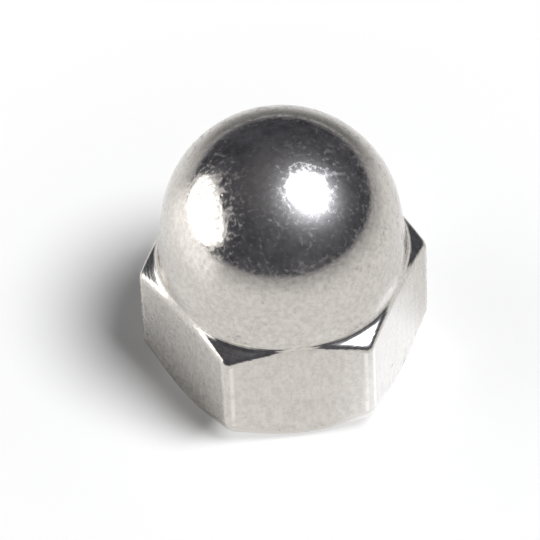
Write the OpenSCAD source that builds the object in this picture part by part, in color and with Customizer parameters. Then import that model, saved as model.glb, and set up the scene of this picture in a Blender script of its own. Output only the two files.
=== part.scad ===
// Cap nut: a hexagon nut that a polished dome closes at one end.
// It stands on its seat, with the dome up and the mouth of its blind tapped hole
// at the origin. Two corners of the hexagon lie along X and two flats face along Y.
// The hole is the plain bore of the thread's crests, as it is before tapping.

/* [Hexagon] */
// Width across the flats, the size of the spanner
across_flats = 10; // [8.5:0.1:13]
// Height of the flats, from the seat up to the chamfer that crowns them
flats_height = 5.6; // [4.2:0.1:6.4]
// Radius along the hexagon's six upright edges
edge_radius = 0.4; // [0.05:0.05:0.6]
// Slope of the chamfer that trims the hexagon's top corners, in degrees
top_slope = 32; // [15:1:40]

/* [Seat] */
// Step from the flats in to the seat's outer rim
seat_inset = 0.35; // [0.1:0.05:0.7]
// Slope of the chamfer that trims the hexagon's bottom corners, in degrees
seat_slope = 36; // [15:1:45]

/* [Dome] */
// Height of the whole nut, from the seat to the top of the dome
nut_height = 12; // [11.4:0.1:16]
// Step from the flats in to the ball that crowns the dome
dome_inset = 0.25; // [0.15:0.05:0.6]
// Lean of the dome's wall below the ball, in degrees
dome_draft = 7; // [1:0.5:7.5]
// Radius of the hollow fillet where the wall meets the chamfer
dome_fillet = 0.4; // [0.2:0.05:0.6]

/* [Tapped hole] */
// Outer diameter of the thread
thread_d = 6; // [5:0.1:6.6]
// Pitch of the thread
thread_pitch = 1; // [0.5:0.05:1.25]
// Step from the thread's outer diameter out to the rim of the countersink
mouth_margin = 0.2; // [0.05:0.05:0.4]
// Full angle of the countersink at the mouth, in degrees
mouth_angle = 90; // [60:5:120]
// Metal left between the drill's point and the top of the dome
crown_thickness = 2.1; // [1.6:0.1:3.5]
// Full angle of the drill's point, in degrees
point_angle = 118; // [90:2:140]

/* [Hidden] */
$fn = 120;
// How far a cut starts outside the metal
overrun = 1;

flat_r = across_flats / 2;
corner_r = flat_r / cos(30);

// Outline of the hexagon bar: each corner is an arc of short steps about its own centre
edge_centre = corner_r - edge_radius / cos(30);
edge_step = 15;
bar_outline = [
    for (corner = [0:60:300], turn = [-30:edge_step:30])
        edge_centre * [cos(corner), sin(corner)] + edge_radius * [cos(corner + turn), sin(corner + turn)]
];

seat_r = flat_r - seat_inset;
seat_rise = (corner_r - seat_r) * tan(seat_slope);
corner_top = flats_height - (corner_r - flat_r) * tan(top_slope);

ball_r = flat_r - dome_inset;
ball_z = nut_height - ball_r;
ball_centre = [0, ball_z];

bore_r = (thread_d - thread_pitch) / 2;
mouth_r = thread_d / 2 + mouth_margin;
mouth_depth = (mouth_r - bore_r) / tan(mouth_angle / 2);
hole_top = nut_height - crown_thickness;
bore_top = hole_top - bore_r / tan(point_angle / 2);

// A line of the outline is [its outward normal, its distance from the origin]
function line_through(point, normal) = [normal, normal * point];
function moved_out(line, step) = [line[0], line[1] + step];
function crossing(a, b) =
    let (det = a[0].x * b[0].y - b[0].x * a[0].y)
    [(a[1] * b[0].y - b[1] * a[0].y) / det, (a[0].x * b[1] - b[0].x * a[1]) / det];

chamfer_normal = [sin(top_slope), cos(top_slope)];
wall_normal = [cos(dome_draft), sin(dome_draft)];
wall_top = ball_centre + ball_r * wall_normal;
chamfer_line = line_through([flat_r, flats_height], chamfer_normal);
wall_line = line_through(wall_top, wall_normal);
fillet_centre = crossing(moved_out(wall_line, dome_fillet), moved_out(chamfer_line, dome_fillet));
wall_foot = fillet_centre - dome_fillet * wall_normal;
chamfer_top = fillet_centre - dome_fillet * chamfer_normal;

// Half section of the turned form: seat, both corner chamfers, fillet, wall and ball
module turned_section() {
    difference() {
        polygon([
            [0, 0],
            [seat_r, 0],
            [corner_r, seat_rise],
            [corner_r, corner_top],
            chamfer_top,
            fillet_centre,
            wall_foot,
            wall_top,
            ball_centre
        ]);
        translate(fillet_centre) circle(r = dome_fillet);
    }
    intersection() {
        translate(ball_centre) circle(r = ball_r);
        translate([0, ball_z - ball_r]) square([ball_r, 2 * ball_r]);
    }
}

// Hexagon bar that the turned form is cut from
module hexagon_bar() {
    linear_extrude(nut_height) polygon(bar_outline);
}

// Drilled and countersunk hole, from below the seat up to the drill's point
module hole() {
    rotate_extrude() polygon([
        [0, -overrun],
        [mouth_r + overrun * tan(mouth_angle / 2), -overrun],
        [bore_r, mouth_depth],
        [bore_r, bore_top],
        [0, hole_top]
    ]);
}

module cap_nut() {
    color([0.78, 0.76, 0.74]) difference() {
        intersection() {
            hexagon_bar();
            rotate_extrude() turned_section();
        }
        hole();
    }
}

cap_nut();
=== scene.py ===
"""Cap nut: a hexagon nut that a polished dome closes at one end, with a blind tapped hole in its seat."""

import math

import bmesh
import bpy
from mathutils import Matrix, Quaternion, Vector


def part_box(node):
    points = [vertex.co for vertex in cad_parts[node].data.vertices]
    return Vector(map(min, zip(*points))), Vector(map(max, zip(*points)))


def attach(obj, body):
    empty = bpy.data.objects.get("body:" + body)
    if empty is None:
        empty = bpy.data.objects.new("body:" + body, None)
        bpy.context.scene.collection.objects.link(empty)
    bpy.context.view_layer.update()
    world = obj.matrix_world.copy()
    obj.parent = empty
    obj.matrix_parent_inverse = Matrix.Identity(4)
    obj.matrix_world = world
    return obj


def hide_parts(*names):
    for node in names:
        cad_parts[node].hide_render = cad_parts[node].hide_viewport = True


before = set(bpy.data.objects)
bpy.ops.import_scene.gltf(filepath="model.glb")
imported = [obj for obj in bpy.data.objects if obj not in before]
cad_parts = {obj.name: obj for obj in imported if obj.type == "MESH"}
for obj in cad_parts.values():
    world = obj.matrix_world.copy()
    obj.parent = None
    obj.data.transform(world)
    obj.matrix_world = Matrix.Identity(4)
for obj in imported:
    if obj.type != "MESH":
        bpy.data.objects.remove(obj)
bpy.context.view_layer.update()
scene = bpy.context.scene

MM = 0.001
UP = Vector((0, 0, 1))
FULL_TURN = 2 * math.pi

# ---------------------------------------------------------------- sizes of the nut

_, nut_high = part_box("cap_nut")
flat_r = nut_high.y
nut_height = nut_high.z
corner_r = flat_r / math.cos(math.radians(30))

# Hexagon
flats_height = 5.6 * MM
edge_radius = 0.4 * MM
edge_centre = corner_r - edge_radius / math.cos(math.radians(30))
top_slope = math.radians(32)

# Seat
seat_r = flat_r - 0.35 * MM
seat_slope = math.radians(36)

# Dome
ball_r = flat_r - 0.25 * MM
dome_draft = math.radians(7)
dome_fillet = 0.4 * MM

# Tapped hole. Its countersink slopes at 45 degrees
thread_r = 3 * MM
pitch = 1 * MM
bore_r = thread_r - pitch / 2
mouth_r = thread_r + 0.2 * MM
mouth_depth = mouth_r - bore_r
point_half_angle = math.radians(59)
hole_top = nut_height - 2.1 * MM
bore_top = hole_top - bore_r / math.tan(point_half_angle)

# How much each turned or milled edge is broken: the radius that eases it
crown_ease = 0.36 * MM
foot_ease = 1.0 * MM
rim_ease = 0.15 * MM
mouth_ease = 0.08 * MM
# The most that an easing takes of the bottom chamfer, and of the chamfer and fillet above a flat
foot_share = 0.6
crown_share = 0.3

# The top rim of each flat is rolled over: where that starts below the rim, how deep it goes and
# how far up the dome it fades out. From this width of the chamfer on, only a share of it is left
roll_height = 0.34 * MM
roll_depth = 0.07 * MM
roll_fade = 1.0 * MM
roll_chamfer = 0.3 * MM
roll_share = 0.25

# Steps of the mesh round the nut: over each corner and along each flat
ARC_STEPS = 12
FLAT_STEPS = 28
COLUMNS = 6 * (ARC_STEPS + FLAT_STEPS)

# Steps of the mesh up the nut, from the seat's rim to the top of the ball
RIM_STEPS = 3
SEAT_ROWS = 3
EASE_STEPS = 6
HALF_FLAT_ROWS = 5
CHAMFER_ROWS = 4
FILLET_ROWS = 10
WALL_ROWS = 12
BALL_ROWS = 32

# Distance from an eased edge to the row of points that keeps the flat beside it even
SUPPORT = 0.02 * MM
# Points that lie closer than this are one point: where the turned form meets its axis, and
# where a cut leaves them on top of each other
POLE_WELD = 0.0001 * MM
CUT_WELD = 0.0005 * MM
# An edge that bends by more than this is shaded as a sharp one
SHARP_ANGLE = math.radians(32)

# Zones of the nut's surface, in the order of its materials
DOME, CHAMFER, FLAT, SEAT, HOLE = range(5)

# ---------------------------------------------------------------- places in the studio

# The camera looks down at the nut through a long lens, a little from the left of its front flat
VIEW_AZIMUTH = math.radians(-4.94)
VIEW_ELEVATION = math.radians(51.66)
VIEW_ROLL = math.radians(-2.52)
VIEW_AIM = Vector((-0.53, 0, 4.54)) * MM
VIEW_DISTANCE = 260 * MM
LENS_MM = 438
SENSOR_MM = 36

# Directions of the lights, as seen from the camera: right, away, up
KEY_LIGHT = Vector((0.417, -0.160, 0.895)).normalized()
KEY_FACE = Vector((0.434, -0.062, 0.899)).normalized()
KEY_GLOW = Vector((0.458, -0.135, 0.879)).normalized()
LEFT_LIGHT = Vector((-0.966, 0.057, 0.265)).normalized()

# Directions in which the paper and the walls change, also as seen from the camera
LEFTWARDS = Vector((-1, 0, 0))
BACKWARDS = Vector((0.1, 1, 0)).normalized()
RIGHTWARDS = Vector((0.866, -0.5, 0))
FORWARDS = Vector((0.09, -1, 0)).normalized()

# The key lamp's face, as the metal shows it: it is fully bright up to the first angle from its
# middle, and ends at the second
FACE_BRIGHTNESS = 8
FACE_FULL = math.radians(15)
FACE_END = math.radians(19)
# The glow round it: its brightness at one angle from its middle, the step over which it falls to
# 37 percent, and the most that it reaches
GLOW_BRIGHTNESS = 1.45
GLOW_ANGLE = math.radians(18)
GLOW_STEP = math.radians(8.3)
GLOW_LIMIT = 1.7

# The share of the room's brightness that lights the nut and the paper
ROOM_LIGHT = 0.05

# The paper is a ring that starts just inside the seat's rim, a hair below the seat
PAPER_LAP = 0.1 * MM
PAPER_RADIUS = 190 * MM
PAPER_DROP = 0.01 * MM
PAPER_SIDES = 96
# It holds the nut's shadow up to the first distance from the axis, and none of it from the second
SHADOW_FULL = 7.2 * MM
SHADOW_END = 19 * MM

# Colours of the studio
WHITE = (1, 1, 1, 1)
PAPER = (0.96, 0.96, 0.96, 1)
FLOOR_GLOW = (0.5, 0.5, 0.5, 1)
FRONT_GLOW = (0.03, 0.03, 0.03, 1)
WALL_DARK = (0.050, 0.051, 0.062, 1)
WALL_PALE = (0.105, 0.108, 0.130, 1)
CEILING = (0.13, 0.13, 0.14, 1)
KEY_TINT = (0.93, 0.98, 1.10, 1)

# Colours of the nut
STEEL = (0.530, 0.502, 0.468, 1)
STEEL_PALE = (0.650, 0.618, 0.576, 1)
# Paler steel for the painted highlight lines beside the rounded edges
STEEL_HIGHLIGHT = (0.740, 0.712, 0.675, 1)
# Darker steel for the pits
STEEL_DARK = (0.240, 0.220, 0.190, 1)


# ---------------------------------------------------------------- node trees


class Wire:
    """One output of a node. Python's arithmetic on it adds Math nodes to the same tree."""

    def __init__(self, finish, socket):
        self.finish = finish
        self.socket = socket

    def math(self, operation, *values):
        inputs = dict(enumerate(values))
        return self.finish.add("Math", {"operation": operation}, inputs)

    def __add__(self, other):
        return self.math("ADD", self, other)

    def __radd__(self, other):
        return self.math("ADD", other, self)

    def __sub__(self, other):
        return self.math("SUBTRACT", self, other)

    def __rsub__(self, other):
        return self.math("SUBTRACT", other, self)

    def __mul__(self, other):
        return self.math("MULTIPLY", self, other)

    def __rmul__(self, other):
        return self.math("MULTIPLY", other, self)

    def __truediv__(self, other):
        return self.math("DIVIDE", self, other)

    def at_most(self, other):
        return self.math("MINIMUM", self, other)

    def at_least(self, other):
        return self.math("MAXIMUM", self, other)

    def below(self, other):
        return self.math("LESS_THAN", self, other)

    def absolute(self):
        return self.math("ABSOLUTE", self)

    def rounded(self):
        return self.math("ROUND", self)

    def exp(self):
        return self.math("EXPONENT", self)

    def arccos(self):
        return self.math("ARCCOSINE", self)

    def other(self, name):
        """Another output of the same node."""
        return Wire(self.finish, self.socket.node.outputs[name])


class Finish:
    """The node tree of a material or of the world."""

    def __init__(self, owner):
        owner.use_nodes = True
        self.tree = owner.node_tree
        self.tree.nodes.clear()

    def add(self, kind, settings=None, values=None, out=0):
        """Adds a node, makes its settings, then fills its sockets with values or links."""
        node = self.tree.nodes.new("ShaderNode" + kind)
        for name, value in (settings or {}).items():
            setattr(node, name, value)
        for name, value in (values or {}).items():
            if isinstance(value, Wire):
                self.tree.links.new(value.socket, node.inputs[name])
            else:
                node.inputs[name].default_value = value
        return Wire(self, node.outputs[out]) if node.outputs else None

    def mixed(self, factor, first, second):
        """Two colours mixed."""
        return self.add("Mix", {"data_type": "RGBA"}, {0: factor, 6: first, 7: second}, out=2)

    def added(self, factor, first, second):
        """The second colour, times the factor, added to the first."""
        settings = {"data_type": "RGBA", "blend_type": "ADD", "clamp_factor": False}
        return self.add("Mix", settings, {0: factor, 6: first, 7: second}, out=2)

    def ramp(self, value, low, high):
        """0 where value is at low, 1 where it is at high, and smooth between them."""
        settings = {"interpolation_type": "SMOOTHSTEP"}
        return self.add("MapRange", settings, {"Value": value, "From Min": low, "From Max": high})

    def length(self, vector):
        return self.add("VectorMath", {"operation": "LENGTH"}, {0: vector}, out="Value")


def seen_rays(finish):
    """1 for rays that show a thing, straight or in metal or glass, and 0 for rays that only light one."""
    camera = finish.add("LightPath", out="Is Camera Ray")
    glossy = finish.add("LightPath", out="Is Glossy Ray")
    through = finish.add("LightPath", out="Is Transmission Ray")
    return (camera + glossy + through).at_most(1)


def mirrored_rays(finish):
    """1 for rays that show a thing in metal, and 0 for all others."""
    camera = finish.add("LightPath", out="Is Camera Ray")
    return finish.add("LightPath", out="Is Glossy Ray") * (1 - camera)


def seen_from_camera(direction):
    """A direction given as right, away, up from the camera, turned into the nut's own frame."""
    return Matrix.Rotation(VIEW_AZIMUTH, 3, "Z") @ direction


def along(finish, side, direction):
    """How far side, a unit vector, points in a direction seen from the camera: 1 where they agree."""
    values = {0: side, 1: seen_from_camera(direction)}
    return finish.add("VectorMath", {"operation": "DOT_PRODUCT"}, values, out="Value")


# ---------------------------------------------------------------- studio


def camera_axes(azimuth, elevation, roll):
    """The camera's right, up and back axes, from where it stands round the nut and how it is rolled."""
    back = Vector((
        math.sin(azimuth) * math.cos(elevation),
        -math.cos(azimuth) * math.cos(elevation),
        math.sin(elevation),
    ))
    right = UP.cross(back).normalized()
    level = Matrix((right, back.cross(right), back)).transposed()
    return Quaternion(back, roll).to_matrix() @ level


def add_camera():
    axes = camera_axes(VIEW_AZIMUTH, VIEW_ELEVATION, VIEW_ROLL)
    data = bpy.data.cameras.new("camera")
    data.lens = LENS_MM
    data.sensor_width = SENSOR_MM
    data.clip_start = 10 * MM
    data.clip_end = 10
    camera = bpy.data.objects.new("camera", data)
    camera.matrix_world = Matrix.Translation(VIEW_AIM + axes.col[2] * VIEW_DISTANCE) @ axes.to_4x4()
    scene.collection.objects.link(camera)
    scene.camera = camera


def key_shine(finish, direction):
    """Brightness of the key lamp's wide face and of the soft glow round it."""
    from_face = along(finish, direction, KEY_FACE).arccos()
    from_glow = along(finish, direction, KEY_GLOW).arccos()
    glow = GLOW_BRIGHTNESS * ((GLOW_ANGLE - from_glow) / GLOW_STEP).exp()
    return glow.at_most(GLOW_LIMIT) + FACE_BRIGHTNESS * finish.ramp(from_face, FACE_END, FACE_FULL)


def room_walls(finish, direction, height):
    """The dark and uneven walls, paler in front of the nut and under the ceiling."""
    patches = finish.add("TexNoise", None, {"Vector": direction, "Scale": 6.0, "Detail": 4.0})
    walls = finish.mixed(finish.ramp(patches, 0.3, 0.7), WALL_DARK, WALL_PALE)
    in_front = finish.ramp(along(finish, direction, FORWARDS), 0.5, 1.0)
    walls = finish.added(in_front, walls, FRONT_GLOW)
    return finish.mixed(finish.ramp(height, 0.6, 1.0), walls, CEILING)


def paint_room():
    """The dark room that the metal shows, with the key lamp in it and a pale floor far off.

    The camera sees plain white behind the nut.
    """
    world = bpy.data.worlds.new("studio_room")
    scene.world = world
    finish = Finish(world)
    direction = finish.add("TexCoord", out="Generated")
    height = finish.add("SeparateXYZ", None, {0: direction}, out="Z")
    walls = room_walls(finish, direction, height)
    shade = finish.added(key_shine(finish, direction), walls, KEY_TINT)
    shade = finish.added(finish.ramp(height, 0.07, -0.06), shade, FLOOR_GLOW)
    strength = ROOM_LIGHT + (1 - ROOM_LIGHT) * seen_rays(finish)
    room = finish.add("Background", None, {"Color": shade, "Strength": strength})
    backdrop = finish.add("Background", None, {"Color": WHITE})
    camera = finish.add("LightPath", out="Is Camera Ray")
    shown = finish.add("MixShader", None, {0: camera, 1: room, 2: backdrop})
    finish.add("OutputWorld", None, {"Surface": shown})


def paper_level(finish, distance, side, lit):
    """Colour of the paper's glow. It is plain white to the camera, and the metal shows it with painted
    light and shade.

    In the metal it has painted shade far off and behind the nut, painted light on the left under the
    panel, and painted light, brighter and cooler, where the right flat throws light on it.
    """
    leftwards = finish.ramp(along(finish, side, LEFTWARDS), 0.75, 0.95)
    backwards = finish.ramp(along(finish, side, BACKWARDS), 0.65, 0.92)
    far_shade = 0.37 * finish.ramp(distance, 8 * MM, 75 * MM)
    back_shade = 0.41 * finish.ramp(distance, 12 * MM, 40 * MM)
    panel_light = 0.42 * finish.ramp(distance, 9 * MM, 33 * MM)
    flat_light = 0.42 * lit
    # The painted shade and light that the metal sees in the paper
    tone = leftwards * (far_shade + panel_light) - far_shade - backwards * back_shade + flat_light
    mirrored = mirrored_rays(finish)
    level = 1 + tone * mirrored
    cool = lit * mirrored
    return finish.add("CombineColor", None, {0: level, 1: level + 0.04 * cool, 2: level + 0.10 * cool})


def white_paper():
    """Paper that keeps the nut's shadow near the nut and is plain white far off."""
    material = bpy.data.materials.new("white_paper")
    finish = Finish(material)
    place = finish.add("TexCoord", out="Object")
    distance = finish.length(place)
    side = finish.add("VectorMath", {"operation": "NORMALIZE"}, {0: place})
    rightwards = finish.ramp(along(finish, side, RIGHTWARDS), 0.70, 0.92)
    forwards = finish.ramp(along(finish, side, FORWARDS), 0.68, 0.88)

    # How much of the shadow is whitened by painted light: far off, and where the flats throw light on the
    # paper
    lit = rightwards * finish.ramp(distance, 12 * MM, 8 * MM)
    far_off = 0.02 + 0.98 * finish.ramp(distance, SHADOW_FULL, SHADOW_END)
    whitening = far_off.at_least(lit * mirrored_rays(finish)).at_least(0.62 * forwards) * seen_rays(finish)
    paper = finish.add("BsdfDiffuse", None, {"Color": PAPER})
    # The paper's glow: plain white to the camera, with painted light and shade in the metal
    plain = finish.add("Emission", None, {"Color": paper_level(finish, distance, side, lit)})
    upper = finish.add("MixShader", None, {0: whitening, 1: paper, 2: plain})

    # From below the paper is clear, so that the seat shows
    clear = finish.add("BsdfTransparent")
    behind = finish.add("NewGeometry", out="Backfacing")
    shown = finish.add("MixShader", None, {0: behind, 1: upper, 2: clear})
    finish.add("OutputMaterial", None, {"Surface": shown})
    return material


def lay_sweep():
    """The white paper that the nut stands on, open under the seat so that the seat is lit from below."""
    bm = bmesh.new()
    for radius in (seat_r - PAPER_LAP, PAPER_RADIUS):
        bmesh.ops.create_circle(bm, segments=PAPER_SIDES, radius=radius)
    bmesh.ops.bridge_loops(bm, edges=bm.edges)
    bmesh.ops.translate(bm, verts=bm.verts, vec=(0, 0, -PAPER_DROP))
    bmesh.ops.recalc_face_normals(bm, faces=bm.faces)
    if sum(face.normal.z for face in bm.faces) < 0:
        bmesh.ops.reverse_faces(bm, faces=bm.faces)
    sweep = new_object("paper_sweep", bm, [white_paper()])


def add_lamp(name, towards, distance, size, brightness, lean=0):
    """A round or oval area lamp that faces the nut, with the brightness of its face."""
    direction = seen_from_camera(towards)
    width, height = size
    data = bpy.data.lights.new(name, "AREA")
    data.shape = "ELLIPSE"
    data.size = width
    data.size_y = height
    data.energy = brightness * math.pi * math.pi * width * height / 4
    lamp = bpy.data.objects.new(name, data)
    facing = direction.to_track_quat("Z", "Y").to_matrix().to_4x4() @ Matrix.Rotation(lean, 4, "Z")
    lamp.matrix_world = Matrix.Translation(direction * distance) @ facing
    lamp.visible_camera = False
    scene.collection.objects.link(lamp)
    return lamp


def light_studio():
    """A round soft key lamp high on the right and a low oval panel on the left.

    The room shows the key lamp's face to the metal, so the lamp itself is left out there.
    """
    key_lamp = add_lamp(
        "key_lamp", KEY_LIGHT,
        distance=450 * MM, size=(208 * MM, 208 * MM), brightness=19,
    )
    key_lamp.visible_glossy = False
    add_lamp(
        "left_panel", LEFT_LIGHT,
        distance=600 * MM, size=(690 * MM, 415 * MM), brightness=2.25, lean=math.radians(6),
    )


def new_object(name, bm, materials):
    """Turns a bmesh into an object of the scene, and frees the bmesh."""
    mesh = bpy.data.meshes.new(name)
    bm.to_mesh(mesh)
    bm.free()
    for material in materials:
        mesh.materials.append(material)
    made = bpy.data.objects.new(name, mesh)
    scene.collection.objects.link(made)
    return made


# ---------------------------------------------------------------- section of the nut


def leaning(angle):
    """The direction (out, up) that leans outwards from straight up by angle."""
    return Vector((math.sin(angle), math.cos(angle)))


def crossing(normal_a, reach_a, normal_b, reach_b):
    """Where two lines cross, each given by its normal and its distance from the origin."""
    return Matrix((normal_a, normal_b)).inverted() @ Vector((reach_a, reach_b))


ball_centre = Vector((0, nut_height - ball_r))
chamfer_normal = leaning(top_slope)
wall_lean = math.radians(90) - dome_draft
wall_normal = leaning(wall_lean)
wall_top = ball_centre + ball_r * wall_normal
fillet_centre = crossing(
    chamfer_normal, chamfer_normal @ Vector((flat_r, flats_height)) + dome_fillet,
    wall_normal, wall_normal @ wall_top + dome_fillet,
)
wall_foot = fillet_centre - dome_fillet * wall_normal
chamfer_top = fillet_centre - dome_fillet * chamfer_normal


def rim_of_flat(reach):
    """Height of the edge between the bar and the top chamfer, where the bar reaches out to reach."""
    return flats_height - (reach - flat_r) * math.tan(top_slope)


def chamfer_run(reach):
    """Length of the top chamfer where the bar reaches out to reach."""
    return max(0, reach - chamfer_top.x) / math.cos(top_slope)


def fillet_lean(reach):
    """How far the fillet's surface leans where it starts: at the chamfer, or where a flat cuts into it."""
    return max(top_slope, math.asin(max(0, fillet_centre.x - reach) / dome_fillet))


def rolled(point, reach):
    """Draws a point in where a flat's top rim rolls over, most in its middle, and eases out up the dome."""
    rim = rim_of_flat(reach)
    share = 1 - (1 - roll_share) * min(1, chamfer_run(reach) / roll_chamfer)
    below = (point.y - rim + roll_height) / roll_height
    above = max(0, point.y - rim) / roll_fade
    if below <= 0 or above >= 1:
        return point
    depth = min(1, below) ** 2 * (1 - above ** 2 * (3 - 2 * above))
    return point - Vector((roll_depth * share * depth, 0))


def crown_point(reach, travel):
    """The point that lies travel along the crown, in from the bar's outline, and how its surface leans."""
    run = chamfer_run(reach)
    if travel < run:
        rim = Vector((reach, rim_of_flat(reach)))
        return rim + travel * Vector((-math.cos(top_slope), math.sin(top_slope))), top_slope
    lean = fillet_lean(reach) + (travel - run) / dome_fillet
    return fillet_centre - dome_fillet * leaning(lean), lean


def eased(start, knee, end, steps=EASE_STEPS):
    """Points of a smooth bend from start to end, drawn towards the knee."""
    points = []
    for step in range(steps + 1):
        t = step / steps
        points.append((1 - t) ** 2 * start + 2 * t * (1 - t) * knee + t ** 2 * end)
    return points


def spaced(start, end, steps):
    """Points between start and end, with both left out."""
    return [start.lerp(end, step / steps) for step in range(1, steps)]


def hole_zone():
    """The hole from its drilled point down to the countersink, and the eased rim of its mouth."""
    mouth_step = mouth_ease * math.tan(math.radians(45) / 2)
    slope = Vector((1, -1)).normalized()
    rim = Vector((mouth_r, 0))
    wall = [Vector((0, hole_top)), Vector((bore_r, bore_top)), Vector((bore_r, mouth_depth))]
    return wall, eased(rim - slope * mouth_step, rim, rim + Vector((mouth_step, 0)), RIM_STEPS)


def seat_zone(reach):
    """The eased rim of the seat, the bottom chamfer, and the eased foot of the bar."""
    slope = Vector((math.cos(seat_slope), math.sin(seat_slope)))
    rim = Vector((seat_r, 0))
    rim_step = rim_ease * math.tan(seat_slope / 2)
    foot = Vector((reach, (reach - seat_r) * math.tan(seat_slope)))
    free = (reach - seat_r) / math.cos(seat_slope) - rim_step
    foot_step = min(foot_ease * math.tan(math.radians(45) - seat_slope / 2), foot_share * free)
    bend = eased(rim - Vector((rim_step, 0)), rim, rim + slope * rim_step, RIM_STEPS)
    edge = eased(foot - slope * foot_step, foot, foot + Vector((0, foot_step)))
    return [*bend, *spaced(bend[-1], edge[0], SEAT_ROWS), *edge]


def crown_zone(reach):
    """The eased top edge of the bar, then what is left of the chamfer and of the fillet above it."""
    edge, lean = crown_point(reach, 0)
    whole = chamfer_run(reach) + (wall_lean - fillet_lean(reach)) * dome_fillet
    step = min(crown_ease * math.tan(math.radians(45) - lean / 2), crown_share * whole)
    end, end_lean = crown_point(reach, step)
    knee = end + Vector((math.cos(end_lean), -math.sin(end_lean))) * (reach - end.x) / math.cos(end_lean)
    bend = eased(edge - Vector((0, step)), knee, end)
    # The chamfer's rows end where it ends, or a quarter of the way up where it is shorter than that
    middle = max(chamfer_run(reach), step + 0.25 * (whole - step))
    travels = [step + (middle - step) * row / CHAMFER_ROWS for row in range(1, CHAMFER_ROWS + 1)]
    travels += [middle + (whole - middle) * row / FILLET_ROWS for row in range(1, FILLET_ROWS + 1)]
    return bend, [crown_point(reach, travel)[0] for travel in travels]


def dome_zone():
    """The leaning wall of the dome and the ball on it, up to a last point on the axis."""
    wall = spaced(wall_foot, wall_top, WALL_ROWS)
    ball = [
        ball_centre + ball_r * leaning(wall_lean * (1 - row / BALL_ROWS))
        for row in range(BALL_ROWS + 1)
    ]
    ball[-1].x = 0
    return wall + ball


def section(reach):
    """Points (out, up) of the nut's half section where the bar reaches out to reach, with their zones."""
    hole, mouth = hole_zone()
    seat = seat_zone(reach)
    crown_edge, crown = crown_zone(reach)
    low, high = seat[-1], crown_edge[0]
    support = Vector((0, SUPPORT))
    roll_foot = Vector((reach, rim_of_flat(reach) - roll_height))
    lower_flat = spaced(low, roll_foot, HALF_FLAT_ROWS)
    upper_flat = spaced(roll_foot, high, HALF_FLAT_ROWS)
    flat = [low + support, *lower_flat, roll_foot, *upper_flat, high - support]
    upper = ((FLAT, flat), (CHAMFER, crown_edge + crown), (DOME, dome_zone()))
    upper = [(rolled(point, reach), zone) for zone, points in upper for point in points]
    lower = ((HOLE, hole), (SEAT, mouth), (SEAT, seat))
    return [(point, zone) for zone, points in lower for point in points] + upper


def edge_point(corner, turn):
    """A point (x, y) of the rounded upright edge at a corner, turn round from its middle."""
    point = Vector((edge_centre + edge_radius * math.cos(turn), edge_radius * math.sin(turn)))
    return Matrix.Rotation(math.radians(60) * corner, 2) @ point


def bar_outline():
    """The points (x, y) of the hexagon bar's outline: an arc over each corner, then a flat to the next."""
    points = []
    for corner in range(6):
        for step in range(ARC_STEPS + 1):
            points.append(edge_point(corner, math.radians(-30 + 60 * step / ARC_STEPS)))
        start = points[-1]
        end = edge_point(corner + 1, math.radians(-30))
        for step in range(1, FLAT_STEPS):
            part = (1 - math.cos(math.pi * step / FLAT_STEPS)) / 2
            points.append(start.lerp(end, part))
    return points


# ---------------------------------------------------------------- the nut


def turn_and_mill():
    """Turns the nut's section round its axis, then draws each column of the mesh in to the hexagon bar."""
    bm = bmesh.new()
    station = bm.verts.layers.int.new("station")
    outline = bar_outline()
    blank = section(outline[0].length)
    verts = []
    for index, (point, zone) in enumerate(blank):
        vert = bm.verts.new((point.x, 0, point.y))
        vert[station] = index
        verts.append(vert)
    edges = [bm.edges.new(pair) for pair in zip(verts, verts[1:])]
    bmesh.ops.spin(
        bm, geom=verts + edges, cent=(0, 0, 0), axis=UP, dvec=(0, 0, 0),
        angle=FULL_TURN, space=Matrix(), steps=COLUMNS, use_merge=True,
        use_normal_flip=False, use_duplicate=False,
    )
    zones = [zone for point, zone in blank]
    sections = [section(point.length) for point in outline]
    for face in bm.faces:
        face.material_index = zones[max(vert[station] for vert in face.verts)]
        face.smooth = True
    for vert in bm.verts:
        turn = math.atan2(vert.co.y, vert.co.x) % FULL_TURN
        column = round(turn / FULL_TURN * COLUMNS) % COLUMNS
        point, zone = sections[column][vert[station]]
        outwards = outline[column].normalized()
        vert.co = (outwards.x * point.x, outwards.y * point.x, point.y)
    bmesh.ops.remove_doubles(bm, verts=bm.verts, dist=POLE_WELD)
    bmesh.ops.recalc_face_normals(bm, faces=bm.faces)
    return bm


def thread_coil():
    """The tap's cut as one closed right-hand coil that fades out near the top of the bore."""
    steps = 96
    turns = 10
    # Its section is a V of 60 degrees with a narrow flat at the root, and starts inside the bore
    core_r = bore_r - 0.08 * MM
    root = pitch / 16
    foot = root + (thread_r - core_r) * math.tan(math.radians(30))
    # The thread is full up to the first height and gone at the second
    full_to = bore_top - 1.3 * MM
    gone_at = bore_top - 0.1 * MM
    bm = bmesh.new()
    corners = ((core_r, -foot), (thread_r, -root), (thread_r, root), (core_r, foot))
    verts = [bm.verts.new((out, 0, up - pitch)) for out, up in corners]
    face = bm.faces.new(verts)
    bmesh.ops.spin(
        bm, geom=[*verts, *face.edges, face], cent=(0, 0, 0), axis=UP, dvec=(0, 0, pitch / steps),
        angle=FULL_TURN * turns, space=Matrix(), steps=steps * turns, use_merge=False,
        use_normal_flip=False, use_duplicate=False,
    )
    bmesh.ops.holes_fill(bm, edges=bm.edges, sides=4)
    for vert in bm.verts:
        flat = Vector((vert.co.x, vert.co.y, 0))
        fading = max(0, min(1, (gone_at - vert.co.z) / (gone_at - full_to)))
        flat.length = core_r + (flat.length - core_r) * fading
        vert.co = (flat.x, flat.y, vert.co.z)
    for face in bm.faces:
        face.material_index = HOLE
        face.smooth = True
    bmesh.ops.recalc_face_normals(bm, faces=bm.faces)
    return bm


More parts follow.
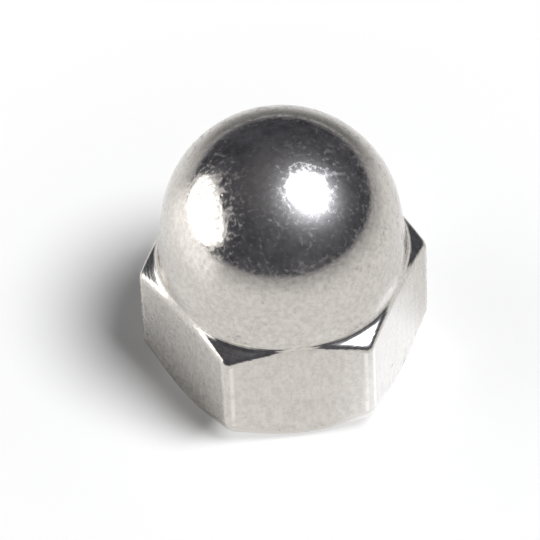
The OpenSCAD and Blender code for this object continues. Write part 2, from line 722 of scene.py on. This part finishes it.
def cut_away(piece, cutter):
    """Cuts the cutter's shape out of the piece, for good."""
    modifier = piece.modifiers.new("cut", "BOOLEAN")
    modifier.operation = "DIFFERENCE"
    modifier.solver = "EXACT"
    modifier.object = cutter
    depsgraph = bpy.context.evaluated_depsgraph_get()
    mesh = bpy.data.meshes.new_from_object(piece.evaluated_get(depsgraph))
    piece.modifiers.clear()
    piece.data = mesh
    bpy.data.objects.remove(cutter)
    clear_slivers(mesh)


def clear_slivers(mesh):
    """Welds the points that a cut leaves on top of each other, with the thin faces between them."""
    bm = bmesh.new()
    bm.from_mesh(mesh)
    bmesh.ops.remove_doubles(bm, verts=bm.verts, dist=CUT_WELD)
    bmesh.ops.dissolve_degenerate(bm, edges=bm.edges, dist=CUT_WELD)
    bmesh.ops.triangulate(bm, faces=[face for face in bm.faces if len(face.verts) > 4])
    bm.to_mesh(mesh)
    bm.free()


# ---------------------------------------------------------------- finishes


def cloud(finish, place, per_mm, detail=2.0, stretch=(1, 1, 1)):
    """Noise from 0 to 1 with about per_mm features in a millimetre, drawn out where stretch is below 1."""
    drawn = finish.add("Mapping", None, {"Vector": place, "Scale": stretch})
    return finish.add("TexNoise", None, {"Vector": drawn, "Scale": per_mm / MM, "Detail": detail})


def height_of(finish, place):
    return finish.add("SeparateXYZ", None, {0: place}, out="Z")


def rings(finish, place, per_mm):
    """Turning marks: noise that is the same all round the axis."""
    flat = finish.add("VectorMath", {"operation": "MULTIPLY"}, {0: place, 1: (1, 1, 0)})
    across = finish.length(flat) - height_of(finish, place)
    values = {"W": across, "Scale": per_mm / MM, "Detail": 3.0}
    return finish.add("TexNoise", {"noise_dimensions": "1D"}, values)


def hairlines(finish, place, turn, per_mm, thin):
    """Fine scratches that run one way, in patches. 1 on a scratch and 0 beside it."""
    turned_place = finish.add("Mapping", None, {"Vector": place, "Rotation": turn})
    sheets = cloud(finish, turned_place, per_mm, 0.0, (1, 1, 0.05))
    line = 1 - ((sheets - 0.5).absolute() * thin).at_most(1)
    patches = finish.ramp(cloud(finish, turned_place, 0.45, 1.0), 0.5, 0.62)
    return line * patches


def pits(finish, place, per_mm, size_mm, share):
    """Tiny round pits in some of the cells of a mesh of per_mm cells. 1 in the middle of a pit."""
    cell = finish.add("TexVoronoi", None, {"Vector": place, "Scale": per_mm / MM}, out="Distance")
    chance = finish.add("SeparateColor", None, {0: cell.other("Color")}, out="Red")
    return finish.ramp(cell, size_mm * per_mm / 2, 0.0) * chance.below(share)


def corner_highlights(finish, place):
    """1 on the two painted highlight lines that border each of the hexagon's six rounded edges, and 0
    elsewhere.
    """
    parts = finish.add("SeparateXYZ", None, {0: place})
    turn = finish.add("Math", {"operation": "ARCTAN2"}, {0: parts.other("Y"), 1: parts})
    sixths = turn / math.radians(60)
    # In degrees round the axis: the lines run 2 from the middle of each corner
    from_corner = (sixths - sixths.rounded()).absolute() * 60
    from_line = (from_corner - 2.0).absolute()
    return finish.ramp(from_line, 1.2, 0.2) * finish.ramp(cloud(finish, place, 2.5, 3.0), 0.2, 0.5)


def steel(name, make):
    """A bare steel. make gives its tone from 0 to 1, its roughness and its height in millimetres.

    After them it may give layers, each with its mask and its colour.
    """
    material = bpy.data.materials.new(name)
    finish = Finish(material)
    place = finish.add("TexCoord", out="Object")
    tone, rough, height, *layers = make(finish, place)
    colour = finish.mixed(tone, STEEL, STEEL_PALE)
    for mask, layer in layers:
        colour = finish.mixed(mask, colour, layer)
    bump = finish.add("Bump", None, {"Strength": 1.0, "Distance": MM, "Height": height})
    metal = finish.add("BsdfPrincipled", None, {
        "Base Color": colour,
        "Metallic": 1.0,
        "Roughness": rough,
        "Normal": bump,
    })
    finish.add("OutputMaterial", None, {"Surface": metal})
    return material


def polished(finish, place):
    """The dome: a mirror with a fine grain, frosted specks, hairline scratches and a few pits."""
    wave = cloud(finish, place, 0.8, 0.0)
    grain = cloud(finish, place, 5.5, 1.0)
    mottle = cloud(finish, place, 4.5, 3.0)
    patches = finish.ramp(cloud(finish, place, 2.2, 2.0), 0.35, 0.75)
    specks = finish.ramp(cloud(finish, place, 5.4, 2.0), 0.42, 0.84)
    scratches = (
        hairlines(finish, place, turn=(0.5, 0.3, 0.0), per_mm=1.6, thin=14)
        .at_least(hairlines(finish, place, turn=(1.9, 0.8, 0.4), per_mm=1.3, thin=16))
        .at_least(hairlines(finish, place, turn=(2.7, -0.7, 1.1), per_mm=1.8, thin=12))
    )
    large_nicks = pits(finish, place, per_mm=1.1, size_mm=0.16, share=0.35)
    small_nicks = pits(finish, place, per_mm=2.3, size_mm=0.10, share=0.16)
    nicks = large_nicks.at_least(small_nicks)
    tone = finish.ramp(mottle, 0.25, 0.75)
    rough = 0.090 + 0.32 * specks + 0.06 * patches + 0.14 * scratches
    height = 0.002 * wave + 0.0021 * grain - 0.0008 * scratches - 0.004 * nicks
    return tone, rough, height


def turned(finish, place):
    """Both chamfers of the hexagon: turning marks over a bright cut."""
    marks = rings(finish, place, 7.0)
    grain = cloud(finish, place, 5.0, 2.0)
    return finish.ramp(grain, 0.3, 0.7), 0.14 + 0.06 * grain, 0.009 * marks + 0.001 * grain


def satin(finish, place):
    """The flats: drawn bar with upright streaks, fine specks and darkened pits that crowd at the foot."""
    streaks = cloud(finish, place, 4.0, 3.0, stretch=(1, 1, 0.2))
    specks = cloud(finish, place, 6.5, 3.5, stretch=(1, 1, 0.6))
    cuts = finish.ramp(cloud(finish, place, 6.0, 1.0, stretch=(1, 1, 0.12)), 0.60, 0.70)
    height_up = height_of(finish, place)
    foot = finish.ramp(height_up, 1.6 * MM, 0.2 * MM)
    lowest = finish.ramp(height_up, 0.9 * MM, 0.35 * MM)
    pits_all_over = pits(finish, place, per_mm=1.3, size_mm=0.30, share=0.22)
    pits_at_foot = pits(finish, place, per_mm=2.2, size_mm=0.36, share=0.45)
    dents = pits_all_over.at_least(foot * pits_at_foot).at_least(lowest * cuts)
    tone = finish.ramp(0.35 * streaks + 0.65 * specks, 0.32, 0.68) * (1 - 0.9 * dents)
    rough = 0.18 + 0.20 * specks + 0.15 * dents
    height = 0.004 * streaks + 0.006 * specks - 0.012 * dents
    # The pits are darker in colour, and more so towards the foot
    pit_darkening = dents * (0.30 + 0.35 * foot)
    # Layers: painted highlight lines beside the rounded edges, then the darkened pits
    return tone, rough, height, (corner_highlights(finish, place), STEEL_HIGHLIGHT), (pit_darkening, STEEL_DARK)


def seat_turned(finish, place):
    """The seat: plain turned rings."""
    marks = rings(finish, place, 7.0)
    grain = cloud(finish, place, 5.0, 3.0)
    return finish.ramp(marks, 0.3, 0.7), 0.2 + 0.1 * marks, 0.004 * marks + 0.001 * grain


def tapped(finish, place):
    """The tapped hole: cut threads, a little torn along their run."""
    torn = cloud(finish, place, 4.0, 3.0, stretch=(0.5, 0.5, 1.6))
    return finish.ramp(torn, 0.3, 0.7), 0.24 + 0.14 * torn, 0.003 * torn


# ---------------------------------------------------------------- the scene

scene.view_settings.view_transform = "Standard"
add_camera()
paint_room()
lay_sweep()
light_studio()

materials = [
    steel("polished_dome_steel", polished),
    steel("turned_chamfer_steel", turned),
    steel("satin_flat_steel", satin),
    steel("turned_seat_steel", seat_turned),
    steel("tapped_hole_steel", tapped),
]

domed_nut = new_object("domed_nut", turn_and_mill(), materials)
cut_away(domed_nut, new_object("thread_coil", thread_coil(), materials))
domed_nut.data.set_sharp_from_angle(angle=SHARP_ANGLE)

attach(domed_nut, "root")
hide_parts("cap_nut")
